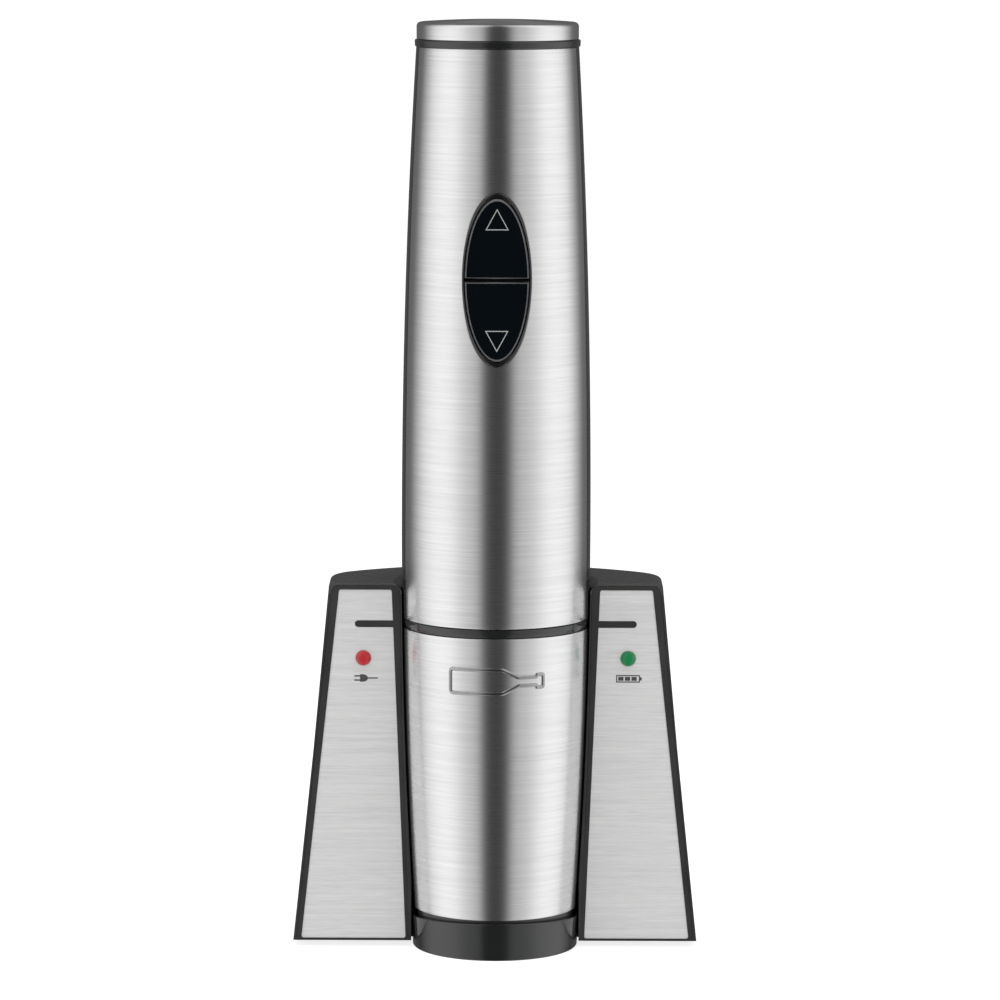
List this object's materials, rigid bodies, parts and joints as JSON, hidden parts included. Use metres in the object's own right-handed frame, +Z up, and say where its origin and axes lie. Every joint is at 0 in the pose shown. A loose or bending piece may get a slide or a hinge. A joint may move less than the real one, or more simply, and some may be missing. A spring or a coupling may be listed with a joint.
{
  "type": "electric wine opener",
  "caption": "Cordless electric corkscrew with a tapered steel barrel and rocker buttons, standing in a flared charging base with two steel wings.",
  "frame": {"origin": "centre of the footprint box, on the surface the base stands on", "axes": "+Z up along the opener, front towards -Y, +X to the right seen from the front"},
  "size_m": [0.1226, 0.0734, 0.281],
  "materials": {
    "brushed_steel": "brushed around the barrel",
    "black_gloss": "gloss",
    "button_gloss": "high gloss",
    "black_satin": "satin",
    "panel_steel": "brushed across",
    "red_lens": "tinted clear",
    "green_lens": "tinted clear",
    "rubber": "matt",
    "circuit": "dark solder mask",
    "inner_plastic": "moulded",
    "zinc": "plated",
    "cell_wrap": "shrink wrap",
    "gear_steel": "ground",
    "brass": "plated"
  },
  "bodies": {
    "base": {"base_shell": "black_satin", "base_top_cover": "black_satin", "base_cup": "black_gloss", "bottom_plate": "black_satin", "base_screws": "gear_steel", "rubber_feet": "rubber", "left_bezel": "black_satin", "right_bezel": "black_satin", "left_panel": "panel_steel", "right_panel": "panel_steel", "power_lens": "red_lens", "charge_lens": "green_lens", "indicator_boards": "circuit", "dc_jack": "inner_plastic", "contact_terminals": "brass", "contact_spring_left": "gear_steel", "contact_spring_right": "gear_steel"},
    "opener": {"top_cap": "brushed_steel", "top_ring": "black_gloss", "upper_front_skin": "brushed_steel", "upper_rear_skin": "brushed_steel", "front_housing": "black_gloss", "rear_housing": "black_gloss", "middle_ring": "black_gloss", "button_bezel": "black_gloss", "switch_board": "circuit", "battery_cells": "cell_wrap", "battery_holder": "inner_plastic", "neck_front_skin": "brushed_steel", "neck_rear_skin": "brushed_steel", "neck_liner": "black_gloss", "bottle_tube": "inner_plastic", "bottom_collar": "black_satin", "contact_pads": "brass", "cork_guide": "inner_plastic", "ring_gear": "inner_plastic", "gearbox_end_plate": "inner_plastic", "gearbox_screws": "gear_steel", "drive_bearing": "brass", "gearbox_motor_plate": "zinc", "motor_can": "zinc", "motor_end_bell": "inner_plastic", "lead_nut": "inner_plastic"},
    "up_button": {"up_button": "button_gloss"},
    "down_button": {"down_button": "button_gloss"},
    "contact_pin_left": {"contact_pin_left": "brass"},
    "contact_pin_right": {"contact_pin_right": "brass"},
    "motor_shaft": {"motor_rotor": "zinc", "motor_pinion": "gear_steel"},
    "first_carrier": {"carrier_1": "gear_steel"},
    "drive": {"carrier_2": "gear_steel", "drive_tube": "gear_steel"},
    "lift_screw": {"spindle": "gear_steel", "worm": "gear_steel"},
    "planet_1a": {"planet_1a": "gear_steel"},
    "planet_1b": {"planet_1b": "gear_steel"},
    "planet_1c": {"planet_1c": "gear_steel"},
    "planet_2a": {"planet_2a": "gear_steel"},
    "planet_2b": {"planet_2b": "gear_steel"},
    "planet_2c": {"planet_2c": "gear_steel"}
  },
  "joints": [
    {"name": "opener_lift", "type": "slide", "parent": "base", "child": "opener", "axis": [0, 0, 1], "range_m": [0, 0.12]},
    {"name": "up_button_press", "type": "slide", "parent": "opener", "child": "up_button", "axis": [0, 1, 0], "range_m": [0, 0.001], "stiffness_N_per_m": 400, "springref_m": -0.0005},
    {"name": "down_button_press", "type": "slide", "parent": "opener", "child": "down_button", "axis": [0, 1, 0], "range_m": [0, 0.001], "stiffness_N_per_m": 400, "springref_m": -0.0005},
    {"name": "left_contact_press", "type": "slide", "parent": "base", "child": "contact_pin_left", "axis": [0, 0, -1], "range_m": [0, 0.0008], "stiffness_N_per_m": 300, "springref_m": -0.0004, "deforming": ["contact_spring_left"]},
    {"name": "right_contact_press", "type": "slide", "parent": "base", "child": "contact_pin_right", "axis": [0, 0, -1], "range_m": [0, 0.0008], "stiffness_N_per_m": 300, "springref_m": -0.0004, "deforming": ["contact_spring_right"]},
    {"name": "motor_spin", "type": "hinge", "parent": "opener", "child": "motor_shaft", "pos_m": [0, -0.00823, 0.2], "axis": [0, 0, -1], "range_deg": [0, 58617]},
    {"name": "first_carrier_spin", "type": "hinge", "parent": "opener", "child": "first_carrier", "pos_m": [0, -0.00823, 0.2], "axis": [0, 0, -1], "range_deg": [0, 11723.4]},
    {"name": "drive_spin", "type": "hinge", "parent": "opener", "child": "drive", "pos_m": [0, -0.00823, 0.2], "axis": [0, 0, -1], "range_deg": [0, 2344.68]},
    {"name": "planet_1a_spin", "type": "hinge", "parent": "first_carrier", "child": "planet_1a", "pos_m": [0.0105, -0.00823, 0.2], "axis": [0, 0, -1], "range_deg": [-31262.4, 0]},
    {"name": "planet_1b_spin", "type": "hinge", "parent": "first_carrier", "child": "planet_1b", "pos_m": [-0.00525, 0.00086, 0.2], "axis": [0, 0, -1], "range_deg": [-31262.4, 0]},
    {"name": "planet_1c_spin", "type": "hinge", "parent": "first_carrier", "child": "planet_1c", "pos_m": [-0.00525, -0.01732, 0.2], "axis": [0, 0, -1], "range_deg": [-31262.4, 0]},
    {"name": "planet_2a_spin", "type": "hinge", "parent": "drive", "child": "planet_2a", "pos_m": [0.0105, -0.00823, 0.2], "axis": [0, 0, -1], "range_deg": [-6252.48, 0]},
    {"name": "planet_2b_spin", "type": "hinge", "parent": "drive", "child": "planet_2b", "pos_m": [-0.00525, 0.00086, 0.2], "axis": [0, 0, -1], "range_deg": [-6252.48, 0]},
    {"name": "planet_2c_spin", "type": "hinge", "parent": "drive", "child": "planet_2c", "pos_m": [-0.00525, -0.01732, 0.2], "axis": [0, 0, -1], "range_deg": [-6252.48, 0]},
    {"name": "lift_screw_slide", "type": "slide", "parent": "drive", "child": "lift_screw", "axis": [0, 0, -1], "range_m": [0, 0.052]}
  ],
  "couplings": [
    {"joint": "drive_spin", "follows": "lift_screw_slide", "rad_per_m": 785.4},
    {"joint": "first_carrier_spin", "follows": "lift_screw_slide", "rad_per_m": 3927},
    {"joint": "motor_spin", "follows": "lift_screw_slide", "rad_per_m": 19635},
    {"joint": "planet_1a_spin", "follows": "lift_screw_slide", "rad_per_m": -10472},
    {"joint": "planet_1b_spin", "follows": "lift_screw_slide", "rad_per_m": -10472},
    {"joint": "planet_1c_spin", "follows": "lift_screw_slide", "rad_per_m": -10472},
    {"joint": "planet_2a_spin", "follows": "lift_screw_slide", "rad_per_m": -2094.4},
    {"joint": "planet_2b_spin", "follows": "lift_screw_slide", "rad_per_m": -2094.4},
    {"joint": "planet_2c_spin", "follows": "lift_screw_slide", "rad_per_m": -2094.4}
  ]
}
